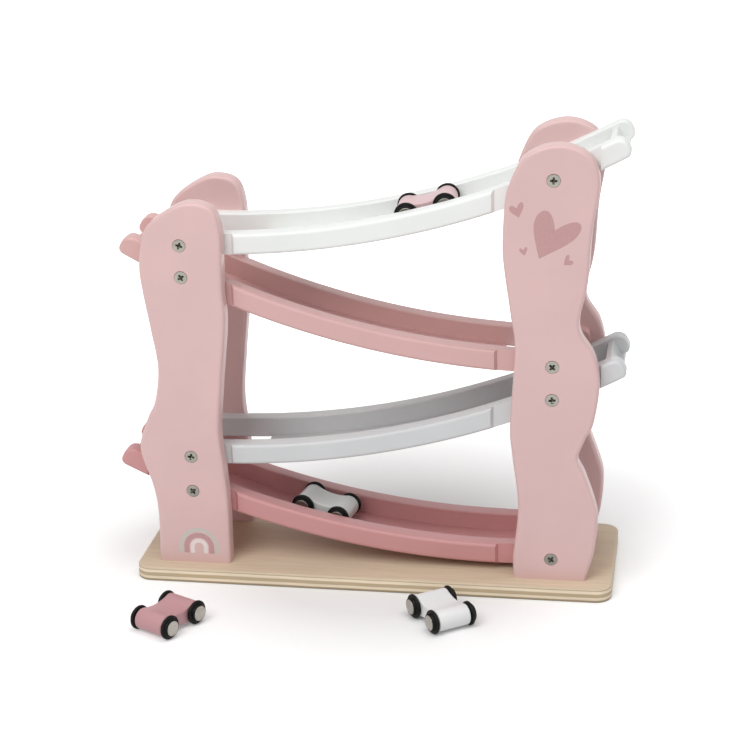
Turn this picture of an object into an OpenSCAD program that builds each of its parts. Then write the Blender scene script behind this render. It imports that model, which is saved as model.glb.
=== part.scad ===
// Click clack track toy. A birch plywood base carries two pairs of wavy side panels.
// Four curved ramps hang between the panels and slope to alternate sides, one under another.
// A car rolls down a ramp, drops through the gap at its low end and lands on the next ramp.
// Origin: centre of the base plate's underside. +X runs along the base, +Z is up, -Y is the front.

/* [Base plate] */
// Length of the base plate
base_l = 300; // [290:1:340]
// Width of the base plate
base_w = 100; // [90:1:140]
// Thickness of the base plate
base_t = 9; // [6:0.5:12]
// Radius of the base plate's corners
base_corner_r = 10; // [3:0.5:20]

/* [Side panels] */
// Thickness of a side panel
panel_t = 12; // [8:0.5:16]
// Greatest width that the wavy outlines are laid out in
panel_w = 60; // [54:0.5:66]
// Height of the left pair above the base
left_panel_h = 235.6; // [232:0.5:250]
// Height of the right pair above the base
right_panel_h = 274.5; // [271:0.5:290]
// Distance of the left pair's centre line from the middle of the base
left_panel_x = 112.5; // [109:0.5:116]
// Distance of the right pair's centre line from the middle of the base
right_panel_x = 113; // [110:0.5:117]

/* [Ramps] */
// Clear width between the two rails of a ramp
channel_w = 36; // [34:0.5:42]
// Thickness of a rail
rail_t = 11; // [9:0.5:14]
// Height of a rail
rail_h = 13; // [11.5:0.25:13.5]
// Radius of the rails' top edge
track_r = 524.5; // [515:0.5:535]
// Depth of the ramp floor under the rails' top edge
floor_drop = 11.4; // [10:0.1:11.6]
// Thickness of the ramp floor
floor_t = 1.6; // [1:0.1:2]
// Depth of the seat that a panel fits into
seat_depth = 2.2; // [1:0.1:4]
// Thickness of the wall across a ramp's high end
wall_t = 4.2; // [3:0.1:6]
// Distance from a wall's top edge down from the rails' top edge
wall_drop = 2; // [1:0.25:5]
// Angle from the floor's end up to the lowest point of the ramp
floor_end_angle = 3.45; // [2.5:0.05:5]
// Angle that the rails run on past their lowest point
low_angle = 2.1; // [1.7:0.05:2.3]
// Angle that the last ramp runs on past its lowest point
last_low_angle = 5; // [4:0.1:5.5]
// Corner radius on top of a ramp's high end
ear_top_r = 6.5; // [3:0.25:8]
// Corner radius under a ramp's high end
ear_bottom_r = 4; // [1:0.25:5]
// Corner radius of a rail's low end
low_end_r = 5; // [3:0.25:5.5]

/* [Ramp places] */
// First ramp: distance of its lowest point from the middle
first_ramp_x = 101; // [98:0.5:104]
// First ramp: height of its lowest point
first_ramp_z = 222.6; // [221:0.1:224]
// First ramp: angle up to its high end
first_ramp_sweep = 28.75; // [28:0.05:29.6]
// Second ramp: distance of its lowest point from the middle
second_ramp_x = 111.7; // [107:0.1:112]
// Second ramp: height of its lowest point
second_ramp_z = 153.2; // [152.5:0.1:154.5]
// Second ramp: angle up to its high end
second_ramp_sweep = 29.7; // [28.5:0.05:30]
// Third ramp: distance of its lowest point from the middle
third_ramp_x = 104.6; // [102:0.5:107]
// Third ramp: height of its lowest point
third_ramp_z = 85.8; // [85:0.1:86.8]
// Third ramp: angle up to its high end
third_ramp_sweep = 29.15; // [28:0.05:29.6]
// Last ramp: distance of its lowest point from the middle
last_ramp_x = 80.8; // [78:0.5:83]
// Last ramp: height of its lowest point
last_ramp_z = 26.4; // [26:0.1:27.4]
// Last ramp: angle up to its high end
last_ramp_sweep = 26.85; // [26:0.05:27.5]

/* [Cars] */
// Distance between a car's axles
wheelbase = 24.2; // [21:0.2:28]
// Radius of a tyre
tyre_r = 7.4; // [7.2:0.05:7.9]
// Width of a tyre
tyre_w = 3.8; // [3:0.1:5]
// Radius of the metal disc in a tyre
hub_r = 4.7; // [3.5:0.1:5.2]
// Gap between a car's wheels and the rail beside them
car_side_gap = 2.9; // [2.5:0.1:5]
// Radius of an axle
axle_r = 1; // [0.8:0.05:1.4]
// Radius of the rounded ends of a car's body
lobe_r = 6.5; // [5.5:0.1:6.9]
// Half of a car body's height at its waist
waist_h = 4.4; // [3.2:0.1:4.8]

/* [Car places] */
// Angle of the first ramp's car above the ramp's lowest point
first_car_angle = 14.7; // [8:0.05:22]
// Turn of the first ramp's car between its rails, seen from above
first_car_turn = 3.5; // [-5:0.5:5]
// Angle of the last ramp's car above the ramp's lowest point
last_car_angle = 12.65; // [4:0.05:20]
// Turn of the last ramp's car between its rails, seen from above
last_car_turn = -9; // [-9:0.5:5]
// White car: distance right of the middle
white_car_x = 50; // [40:0.5:60]
// White car: distance in front of the base plate's front edge
white_car_y = 33.9; // [30:0.5:60]
// White car: turn of its nose from the +X direction
white_car_turn = -54; // [-70:1:-40]
// Rose car: distance left of the middle
rose_car_x = 112.7; // [100:0.5:120]
// Rose car: distance in front of the base plate's front edge
rose_car_y = 59.7; // [45:0.5:70]
// Rose car: turn of its nose from the +X direction
rose_car_turn = 62.4; // [50:1:75]

/* [Screws] */
// Radius of a screw's shank
screw_r = 1.7; // [1.2:0.05:2]
// Radius of a countersunk screw head
screw_head_r = 3.9; // [3.2:0.1:4.2]
// Length of a panel screw
panel_screw_l = 19; // [16:0.5:19.5]
// Length of a base screw
base_screw_l = 28; // [20:0.5:34]
// Distance of the panel screws from the middle of the base
screw_x = 112.3; // [110:0.5:115]
// Rise of a panel screw above the middle of its rail
screw_rise = 1.7; // [0:0.1:2.5]
// Distance between the two base screws of a panel
base_screw_pitch = 24; // [16:0.5:32]

/* [Fits] */
// Radial clearance of an axle in a car's body
axle_clear = 0.06; // [0.02:0.01:0.1]
// Radial clearance of a disc in its tyre
hub_clear = 0.03; // [0.01:0.01:0.1]
// Radial clearance of a screw in its hole
screw_clear = 0.05; // [0.01:0.01:0.1]
// Gap between a standing tyre and the ramp floor
tyre_lift = 0.15; // [0.1:0.05:0.3]

/* [Display] */
// Sub-part to draw, or all
// Segments in a full circle
curve_fn = 96; // [32:8:160]

/* [Hidden] */
$fn = curve_fn;
// Length by which a cut runs past what it cuts
overrun = 1;
// Points between two listed points of a panel outline
outline_steps = 6;
// Points along a rounded corner
corner_steps = 8;

// Half the distance between the rails' outer faces
rail_outer = channel_w / 2 + rail_t;
// Distance of a panel's inner face from the middle
panel_inner = rail_outer - seat_depth;
// Distance of a panel's outer face from the middle
panel_outer = panel_inner + panel_t;
// Radius of the rails' underside
under_r = track_r + rail_h;
// Radius of the floors' top
floor_r = track_r + floor_drop;
// Reach of a cutting wedge, as a share of the largest radius
wedge_reach_share = 1.2;
wedge_r = under_r * wedge_reach_share;

// Side of a ramp's high end: right or left
left = -1;
right = -left;
// Side of the toy: front or back
front = -1;
back = -front;

// Ramp table: lowest point's distance, its height, sweep, run past the low point, high side
first_ramp = [-first_ramp_x, first_ramp_z, first_ramp_sweep, low_angle, right];
second_ramp = [second_ramp_x, second_ramp_z, second_ramp_sweep, low_angle, left];
third_ramp = [-third_ramp_x, third_ramp_z, third_ramp_sweep, low_angle, right];
last_ramp = [last_ramp_x, last_ramp_z, last_ramp_sweep, last_low_angle, left];
ramps = [first_ramp, second_ramp, third_ramp, last_ramp];
// Inner ends of the panel seats, as shares of the base length, left and right for each ramp
seat_inner_shares = [[0.27, 0.25], [0.275, 0.255], [0.293, 0.247], [0.287, 0.256]];
// Outer end of the panel seats at the high ends, as shares of the base length for each ramp
seat_outer_shares = [0.47, 0.47, 0.47, 0.488];

// Distance from a ramp's high end to the middle of the wall across it
wall_inset = 9;
// Angle of the wall's middle on a ramp, and half the angle that it takes
function wall_angle(ramp) = ramp[2] - asin(wall_inset / floor_r);
wall_half_angle = asin(wall_t / 2 / floor_r);

// Centre of a ramp's arcs
function arc_x(ramp) = ramp[0];
function arc_z(ramp) = ramp[1] + track_r;
// Point at radius r and angle a above a ramp's lowest point, seen from the arcs' centre
function polar(ramp, r, a) = [ramp[4] * r * sin(a), -r * cos(a)];
// Unit vector along the arc, towards the high end
function along(ramp, a) = [ramp[4] * cos(a), sin(a)];
// Height of the middle of a rail at the place x
function rail_mid_z(ramp, x) = arc_z(ramp) - sqrt(pow(track_r + rail_h / 2, 2) - pow(x - ramp[0], 2));
// Height of a panel screw at the place x
function screw_z(ramp, x) = rail_mid_z(ramp, x) + screw_rise;

// Screw places on the panels of one side
function side_screws(side) = [for (ramp = ramps) [side * screw_x, screw_z(ramp, side * screw_x)]];

// Panel outlines: x share of panel_w from the centre line, z share of the panel's height
left_outline_shares = [
    [-0.400, 0.000], [-0.390, 0.140], [-0.430, 0.218], [-0.540, 0.323], [-0.443, 0.408], [-0.352, 0.459],
    [-0.300, 0.552], [-0.353, 0.659], [-0.410, 0.757], [-0.432, 0.822], [-0.393, 0.896], [-0.304, 0.942],
    [-0.065, 0.984], [0.133, 1.000], [0.345, 0.983], [0.425, 0.925], [0.425, 0.840], [0.418, 0.759],
    [0.430, 0.675], [0.358, 0.506], [0.313, 0.374], [0.346, 0.270], [0.370, 0.168], [0.368, 0.000]
];
right_outline_shares = [
    [-0.394, 0.000], [-0.403, 0.051], [-0.352, 0.175], [-0.413, 0.298], [-0.435, 0.368], [-0.388, 0.539],
    [-0.428, 0.619], [-0.495, 0.727], [-0.510, 0.780], [-0.487, 0.871], [-0.428, 0.922], [-0.275, 0.977],
    [0.033, 1.000], [0.320, 0.978], [0.430, 0.922], [0.362, 0.809], [0.325, 0.697], [0.248, 0.597],
    [0.398, 0.534], [0.455, 0.466], [0.403, 0.379], [0.317, 0.337], [0.247, 0.291], [0.317, 0.256],
    [0.430, 0.184], [0.455, 0.142], [0.430, 0.074], [0.345, 0.000]
];

// Smooth curve through listed points, tangent at each to the line between its neighbours
function curve_point(p, q, r, s, t) =
    (2 * q + t * (r - p) + t * t * (2 * p - 5 * q + 4 * r - s) + t * t * t * (3 * q - p - 3 * r + s)) / 2;
function smooth(points, steps) = let (last = len(points) - 1) [
    for (i = [0 : last - 1], k = [0 : steps - 1])
        curve_point(points[max(i - 1, 0)], points[i], points[i + 1], points[min(i + 2, last)], k / steps),
    points[last]
];

// Colours, as the photograph shows them
birch = [0.80, 0.72, 0.62];
panel_pink = [0.86, 0.73, 0.72];
ramp_white = [0.91, 0.91, 0.90];
ramp_pink = [0.80, 0.66, 0.64];
ramp_grey = [0.79, 0.79, 0.78];
ramp_rose = [0.72, 0.52, 0.52];
rubber_black = [0.10, 0.10, 0.10];
steel = [0.72, 0.72, 0.70];
rose = [0.74, 0.57, 0.58];
pale_grey = [0.70, 0.71, 0.70];
white = [0.89, 0.89, 0.89];
pink = [0.86, 0.76, 0.76];

// Ring between two radii, cut to the stretch of a ramp from angle a to angle b
module arc_band(ramp, r_in, r_out, a, b) {
    intersection() {
        difference() {
            circle(r_out);
            circle(r_in);
        }
        polygon([
            [0, 0], polar(ramp, wedge_r, a), polar(ramp, wedge_r, a + (b - a) / 3),
            polar(ramp, wedge_r, b - (b - a) / 3), polar(ramp, wedge_r, b)
        ]);
    }
}

// Waste outside a rounded corner. up is 1 for a rail's top edge, end is 1 for the high end.
// Its first and last chord run on past the rail's edges, so that both cross them cleanly.
module corner_waste(ramp, edge_r, a, r, up, end) {
    centre_r = edge_r + up * r;
    centre_a = a - end * asin(r / centre_r);
    centre = polar(ramp, centre_r, centre_a);
    across = polar(ramp, -up, centre_a);
    out = end * along(ramp, a);
    far = r + overrun;
    arc = [
        for (k = [0 : corner_steps])
            let (t = k * 90 / corner_steps, d = cos(t) * across + sin(t) * out) centre + r * d / norm(d)
    ];
    last = corner_steps;
    polygon(concat(
        [2 * arc[0] - arc[1]],
        [for (k = [1 : last - 1]) arc[k]],
        [2 * arc[last] - arc[last - 1]],
        [centre + far * out, centre + far * out + far * across, centre + far * across]
    ));
}

// Puts a side view drawn about a ramp's arc centre in place, from y1 back to y2
module stand(ramp, y1, y2) {
    translate([arc_x(ramp), y2, arc_z(ramp)])
        rotate([90, 0, 0])
            linear_extrude(y2 - y1)
                children();
}

module rail_profile(ramp) {
    difference() {
        arc_band(ramp, track_r, under_r, -ramp[3], ramp[2]);
        corner_waste(ramp, track_r, ramp[2], ear_top_r, 1, 1);
        corner_waste(ramp, under_r, ramp[2], ear_bottom_r, -1, 1);
        corner_waste(ramp, track_r, -ramp[3], low_end_r, 1, -1);
        corner_waste(ramp, under_r, -ramp[3], low_end_r, -1, -1);
    }
}

// Box that clears a panel's seat on the outer face of a rail
module seat_cut(face_side, x1, x2) {
    y1 = face_side * panel_inner;
    y2 = face_side * (rail_outer + overrun);
    translate([min(x1, x2), min(y1, y2), 0])
        cube([abs(x2 - x1), abs(y2 - y1), arc_z(first_ramp)]);
}

// Rod along Y from the depth y1 to the depth y2 on one face side, at the place at = [x, z]
module cross_rod(face_side, at, y1, y2, r1, r2) {
    translate([at[0], face_side * y1, at[1]])
        rotate([-face_side * 90, 0, 0])
            cylinder(y2 - y1, r1, r2);
}

module rail(i, face_side) {
    ramp = ramps[i];
    shares = seat_inner_shares[i];
    seat_end = seat_outer_shares[i] * base_l;
    inner = face_side * channel_w / 2;
    outer = face_side * rail_outer;
    difference() {
        stand(ramp, min(inner, outer), max(inner, outer)) rail_profile(ramp);
        seat_cut(face_side, -shares[0] * base_l, -seat_end);
        seat_cut(face_side, shares[1] * base_l, seat_end);
        for (side = [left, right])
            cross_rod(
                face_side, [side * screw_x, screw_z(ramp, side * screw_x)],
                panel_outer - panel_screw_l - screw_clear, panel_outer, screw_r + screw_clear,
                screw_r + screw_clear
            );
    }
}

module ramp_floor(i) {
    ramp = ramps[i];
    start = i == len(ramps) - 1 ? -ramp[3] : floor_end_angle;
    end = ramp[2] - asin(ear_bottom_r / under_r);
    stand(ramp, -channel_w / 2, channel_w / 2)
        arc_band(ramp, floor_r, floor_r + floor_t, start, end);
}

module ramp_wall(i) {
    ramp = ramps[i];
    a = wall_angle(ramp);
    stand(ramp, -channel_w / 2, channel_w / 2)
        arc_band(ramp, track_r + wall_drop, floor_r, a - wall_half_angle, a + wall_half_angle);
}

// Wavy panel with countersunk holes for its four rail screws and two blind holes in its foot
module panel(side, face_side) {
    shares = side == left ? left_outline_shares : right_outline_shares;
    height = side == left ? left_panel_h : right_panel_h;
    middle = side == left ? -left_panel_x : right_panel_x;
    difference() {
        translate([middle, face_side == front ? -panel_inner : panel_outer, base_t])
            rotate([90, 0, 0])
                linear_extrude(panel_t)
                    polygon([for (p = smooth(shares, outline_steps)) [p[0] * panel_w, p[1] * height]]);
        for (at = side_screws(side)) {
            cross_rod(
                face_side, at, panel_inner - overrun, panel_outer + overrun, screw_r + screw_clear,
                screw_r + screw_clear
            );
            cross_rod(
                face_side, at, panel_outer - head_cone_h, panel_outer + screw_clear, screw_r + screw_clear,
                screw_head_r + 2 * screw_clear
            );
        }
        for (at = base_screw_places(side, face_side))
            translate(at)
                cylinder(base_screw_l + screw_clear, screw_r + screw_clear, screw_r + screw_clear);
    }
}

// Height of a countersunk head's cone, whose sides stand at 45 degrees
head_cone_h = screw_head_r - screw_r;
// Half-width, depth and arm half-length of the cross slot in a screw head
slot_half_w = 0.45;
slot_depth = 1.4;
slot_reach = 2.2;
// Length of a screw's point
point_l = 3;

// Countersunk screw: the head's face at the origin, the shank along +Z
module screw(length) {
    difference() {
        union() {
            cylinder(head_cone_h, screw_head_r, screw_r);
            cylinder(length - point_l, screw_r, screw_r);
            translate([0, 0, length - point_l])
                cylinder(point_l, screw_r, screw_r / 4);
        }
        for (turn = [0, 90])
            rotate([0, 0, turn])
                translate([-slot_reach, -slot_half_w, -overrun])
                    cube([2 * slot_reach, 2 * slot_half_w, slot_depth + overrun]);
    }
}

function base_screw_places(side, face_side) = let (middle = side == left ? -left_panel_x : right_panel_x) [
    for (step = [-1, 1]) [middle + step * base_screw_pitch / 2, face_side * (panel_inner + panel_t / 2), 0]
];

module panel_screws(face_side) {
    for (side = [left, right], at = side_screws(side))
        translate([at[0], face_side * panel_outer, at[1]])
            rotate([face_side * 90, 0, 0])
                screw(panel_screw_l);
}

// Metal disc's face, proud of its tyre
hub_proud = 0.2;
// Distance between the middles of a car's left and right tyres
wheel_track = channel_w - 2 * (car_side_gap + hub_proud) - tyre_w;
// Gap between a tyre and the body, and the body's width
car_body_gap = 0.5;
car_body_w = wheel_track - tyre_w - 2 * car_body_gap;

// Place of a ramp car: its axles' middle, hung from the arc centre
function hang_r() = sqrt(pow(floor_r - tyre_lift - tyre_r, 2) - pow(wheelbase / 2, 2));

module on_ramp(ramp, a, turn) {
    translate([arc_x(ramp), 0, arc_z(ramp)])
        rotate([0, -ramp[4] * a, 0])
            translate([0, 0, -hang_r()])
                rotate([0, 0, turn])
                    children();
}

module on_ground(x, y, turn) {
    translate([x, y, tyre_r])
        rotate([0, 0, turn])
            children();
}

module first_car_place() {
    on_ramp(first_ramp, first_car_angle, first_car_turn) children();
}

module last_car_place() {
    on_ramp(last_ramp, last_car_angle, last_car_turn) children();
}

module white_car_place() {
    on_ground(white_car_x, -base_w / 2 - white_car_y, white_car_turn) children();
}

module rose_car_place() {
    on_ground(-rose_car_x, -base_w / 2 - rose_car_y, rose_car_turn) children();
}

// The waist arcs touch lobes that are smaller by this much, so that they cross the real lobes cleanly
waist_bite = 0.05;
touch_r = lobe_r - waist_bite;
// Radius of the waist arcs
waist_r = (wheelbase * wheelbase / 4 + waist_h * waist_h - touch_r * touch_r) / (2 * (touch_r - waist_h));
// Point where a waist arc touches the smaller lobe
touch_x = wheelbase / 2 * waist_r / (touch_r + waist_r);
touch_z = touch_r * (waist_h + waist_r) / (touch_r + waist_r);

// Car body: two round lobes about the axles, with a waist between them
module car_body() {
    difference() {
        translate([0, car_body_w / 2, 0])
            rotate([90, 0, 0])
                linear_extrude(car_body_w)
                    union() {
                        for (end = [-1, 1])
                            translate([end * wheelbase / 2, 0])
                                circle(lobe_r);
                        difference() {
                            square([2 * touch_x, 2 * touch_z], center = true);
                            for (up = [-1, 1])
                                translate([0, up * (waist_h + waist_r)])
                                    circle(waist_r);
                        }
                    }
        for (end = [-1, 1])
            translate([end * wheelbase / 2, 0, 0])
                rotate([90, 0, 0])
                    cylinder(
                        car_body_w + 2 * overrun, axle_r + axle_clear, axle_r + axle_clear, center = true
                    );
    }
}

// Height of a tyre's step, the tread's share of the width and the bevel of the edges
tyre_step = 1.7;
tread_share = 0.56;
tyre_bevel = 0.5;
tyre_step_r = tyre_r - tyre_step;
tread_w = tyre_w * tread_share;
// Distance from the middle of a car to the inner and the outer face of a tyre
tyre_in = wheel_track / 2 - tyre_w / 2;
// Bevel of the metal disc and the cover over the axle's end
hub_bevel = 0.4;
hub_cover = 1.4;

// Half profile of a tyre: distance from the axle, then distance from the tyre's inner face
tyre_points = [
    [hub_r + hub_clear, 0],
    [tyre_r - tyre_bevel, 0],
    [tyre_r, tyre_bevel],
    [tyre_r, tread_w - tyre_bevel],
    [tyre_r - tyre_bevel, tread_w],
    [tyre_step_r, tread_w],
    [tyre_step_r, tyre_w - tyre_bevel],
    [tyre_step_r - tyre_bevel, tyre_w],
    [hub_r + hub_clear, tyre_w]
];
// Half profile of a disc with the blind hole that holds the axle
hub_points = [
    [axle_r, 0],
    [hub_r, 0],
    [hub_r, tyre_w + hub_proud - hub_bevel],
    [hub_r - hub_bevel, tyre_w + hub_proud],
    [0, tyre_w + hub_proud],
    [0, tyre_w + hub_proud - hub_cover],
    [axle_r, tyre_w + hub_proud - hub_cover]
];

// Turns a half profile about an axle, at the end of the car and on both its sides
module wheel_pair(end, points) {
    for (side = [-1, 1])
        translate([end * wheelbase / 2, side * tyre_in, 0])
            rotate([-side * 90, 0, 0])
                rotate_extrude()
                    polygon(points);
}

module axle(end) {
    translate([end * wheelbase / 2, 0, 0])
        rotate([90, 0, 0])
            cylinder(2 * (tyre_in + tyre_w + hub_proud - hub_cover), axle_r, axle_r, center = true);
}

module base_plate() {
    color(birch)
        difference() {
            linear_extrude(base_t)
                union() {
                    square([base_l - 2 * base_corner_r, base_w], center = true);
                    square([base_l, base_w - 2 * base_corner_r], center = true);
                    for (x = [-1, 1], y = [-1, 1])
                        translate([x * (base_l / 2 - base_corner_r), y * (base_w / 2 - base_corner_r)])
                            circle(base_corner_r);
                }
            for (side = [left, right], face_side = [front, back], at = base_screw_places(side, face_side))
                translate(at) {
                    translate([0, 0, -overrun])
                        cylinder(base_t + 2 * overrun, screw_r + screw_clear, screw_r + screw_clear);
                    translate([0, 0, -screw_clear])
                        cylinder(
                            head_cone_h + screw_clear, screw_head_r + 2 * screw_clear, screw_r + screw_clear
                        );
                }
        }
}

module base_screws() {
    color(steel)
        for (side = [left, right], face_side = [front, back], at = base_screw_places(side, face_side))
            translate(at)
                screw(base_screw_l);
}

module left_front_panel() {
    color(panel_pink) panel(left, front);
}

module left_back_panel() {
    color(panel_pink) panel(left, back);
}

module right_front_panel() {
    color(panel_pink) panel(right, front);
}

module right_back_panel() {
    color(panel_pink) panel(right, back);
}

module front_panel_screws() {
    color(steel) panel_screws(front);
}

module back_panel_screws() {
    color(steel) panel_screws(back);
}

module first_ramp_front_rail() {
    color(ramp_white) rail(0, front);
}

module first_ramp_back_rail() {
    color(ramp_white) rail(0, back);
}

module first_ramp_floor() {
    color(ramp_white) ramp_floor(0);
}

module first_ramp_wall() {
    color(ramp_white) ramp_wall(0);
}

module second_ramp_front_rail() {
    color(ramp_pink) rail(1, front);
}

module second_ramp_back_rail() {
    color(ramp_pink) rail(1, back);
}

module second_ramp_floor() {
    color(ramp_pink) ramp_floor(1);
}

module second_ramp_wall() {
    color(ramp_pink) ramp_wall(1);
}

module third_ramp_front_rail() {
    color(ramp_grey) rail(2, front);
}

module third_ramp_back_rail() {
    color(ramp_grey) rail(2, back);
}

module third_ramp_floor() {
    color(ramp_grey) ramp_floor(2);
}

module third_ramp_wall() {
    color(ramp_grey) ramp_wall(2);
}

module last_ramp_front_rail() {
    color(ramp_rose) rail(3, front);
}

module last_ramp_back_rail() {
    color(ramp_rose) rail(3, back);
}

module last_ramp_floor() {
    color(ramp_rose) ramp_floor(3);
}

module last_ramp_wall() {
    color(ramp_rose) ramp_wall(3);
}

// Stop across the last ramp's low end, where the cars come to rest
module last_ramp_stop() {
    color(ramp_rose)
        stand(last_ramp, -channel_w / 2, channel_w / 2)
            arc_band(
                last_ramp, track_r + wall_drop, floor_r, -last_low_angle,
                -last_low_angle + 2 * wall_half_angle
            );
}

module pink_car_body() {
    color(pink) first_car_place() car_body();
}

module pink_car_low_axle() {
    color(steel) first_car_place() axle(-1);
}

module pink_car_low_discs() {
    color(steel) first_car_place() wheel_pair(-1, hub_points);
}

module pink_car_low_tyres() {
    color(rubber_black) first_car_place() wheel_pair(-1, tyre_points);
}

module pink_car_high_axle() {
    color(steel) first_car_place() axle(1);
}

module pink_car_high_discs() {
    color(steel) first_car_place() wheel_pair(1, hub_points);
}

module pink_car_high_tyres() {
    color(rubber_black) first_car_place() wheel_pair(1, tyre_points);
}

module grey_car_body() {
    color(pale_grey) last_car_place() car_body();
}

module grey_car_low_axle() {
    color(steel) last_car_place() axle(1);
}

module grey_car_low_discs() {
    color(steel) last_car_place() wheel_pair(1, hub_points);
}

module grey_car_low_tyres() {
    color(rubber_black) last_car_place() wheel_pair(1, tyre_points);
}

module grey_car_high_axle() {
    color(steel) last_car_place() axle(-1);
}

module grey_car_high_discs() {
    color(steel) last_car_place() wheel_pair(-1, hub_points);
}

module grey_car_high_tyres() {
    color(rubber_black) last_car_place() wheel_pair(-1, tyre_points);
}

module white_car_body() {
    color(white) white_car_place() car_body();
}

module white_car_nose_axle() {
    color(steel) white_car_place() axle(1);
}

module white_car_nose_discs() {
    color(steel) white_car_place() wheel_pair(1, hub_points);
}

module white_car_nose_tyres() {
    color(rubber_black) white_car_place() wheel_pair(1, tyre_points);
}

module white_car_tail_axle() {
    color(steel) white_car_place() axle(-1);
}

module white_car_tail_discs() {
    color(steel) white_car_place() wheel_pair(-1, hub_points);
}

module white_car_tail_tyres() {
    color(rubber_black) white_car_place() wheel_pair(-1, tyre_points);
}

module rose_car_body() {
    color(rose) rose_car_place() car_body();
}

module rose_car_nose_axle() {
    color(steel) rose_car_place() axle(1);
}

module rose_car_nose_discs() {
    color(steel) rose_car_place() wheel_pair(1, hub_points);
}

module rose_car_nose_tyres() {
    color(rubber_black) rose_car_place() wheel_pair(1, tyre_points);
}

module rose_car_tail_axle() {
    color(steel) rose_car_place() axle(-1);
}

module rose_car_tail_discs() {
    color(steel) rose_car_place() wheel_pair(-1, hub_points);
}

module rose_car_tail_tyres() {
    color(rubber_black) rose_car_place() wheel_pair(-1, tyre_points);
}

base_plate();
base_screws();
left_front_panel();
left_back_panel();
right_front_panel();
right_back_panel();
front_panel_screws();
back_panel_screws();
first_ramp_front_rail();
first_ramp_back_rail();
first_ramp_floor();
first_ramp_wall();
second_ramp_front_rail();
second_ramp_back_rail();
second_ramp_floor();
second_ramp_wall();
third_ramp_front_rail();
third_ramp_back_rail();
third_ramp_floor();
third_ramp_wall();
last_ramp_front_rail();
last_ramp_back_rail();
last_ramp_floor();
last_ramp_wall();
last_ramp_stop();
pink_car_body();
pink_car_low_axle();
pink_car_low_discs();
pink_car_low_tyres();
pink_car_high_axle();
pink_car_high_discs();
pink_car_high_tyres();
grey_car_body();
grey_car_low_axle();
grey_car_low_discs();
grey_car_low_tyres();
grey_car_high_axle();
grey_car_high_discs();
grey_car_high_tyres();
white_car_body();
white_car_nose_axle();
white_car_nose_discs();
white_car_nose_tyres();
white_car_tail_axle();
white_car_tail_discs();
white_car_tail_tyres();
rose_car_body();
rose_car_nose_axle();
rose_car_nose_discs();
rose_car_nose_tyres();
rose_car_tail_axle();
rose_car_tail_discs();
rose_car_tail_tyres();
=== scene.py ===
"""Dresses the click clack track toy: painted panels, rails and cars, bare birch plywood, rubber and metal.

Lengths are in metres, +Z is up and the front of the toy faces -Y.
"""

import math

import bmesh
import bpy
import numpy as np
from mathutils import Matrix, Vector


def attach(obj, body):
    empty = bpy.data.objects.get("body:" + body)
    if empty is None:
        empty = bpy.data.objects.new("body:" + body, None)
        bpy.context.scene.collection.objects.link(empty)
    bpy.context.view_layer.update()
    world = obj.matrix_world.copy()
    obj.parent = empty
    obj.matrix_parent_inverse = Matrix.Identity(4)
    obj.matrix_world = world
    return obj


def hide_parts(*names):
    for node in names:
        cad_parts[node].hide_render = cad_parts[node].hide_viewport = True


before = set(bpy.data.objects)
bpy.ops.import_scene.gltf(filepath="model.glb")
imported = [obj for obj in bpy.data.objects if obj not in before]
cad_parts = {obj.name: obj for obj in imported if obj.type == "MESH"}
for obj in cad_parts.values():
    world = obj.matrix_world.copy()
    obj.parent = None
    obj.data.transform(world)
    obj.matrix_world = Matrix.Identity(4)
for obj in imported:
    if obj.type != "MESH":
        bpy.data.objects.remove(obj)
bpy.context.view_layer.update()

bl_info = {
    "name": "Click clack track toy",
    "version": (1, 0, 0),
    "blender": (4, 5, 0),
    "location": "View3D > Sidebar > Track toy",
    "description": "Builds the surfaces and finishes of a wooden click clack track with four cars",
    "category": "Add Mesh",
}

MM = 0.001
BODY = "track"
FRONT, BACK = -1, 1
LEFT, RIGHT = -1, 1
WHITE = (1.0, 1.0, 1.0, 1.0)


# Properties


def length(name, description, default, low=0.0001, high=1.0):
    """A length in metres that the sidebar shows with its unit."""
    return bpy.props.FloatProperty(
        name=name, description=description, default=default, min=low, max=high, unit="LENGTH", precision=5
    )


def colour(name, description, default):
    """A colour kept as an sRGB hex value."""
    return bpy.props.StringProperty(name=name, description=description, default=default, maxlen=7)


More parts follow.
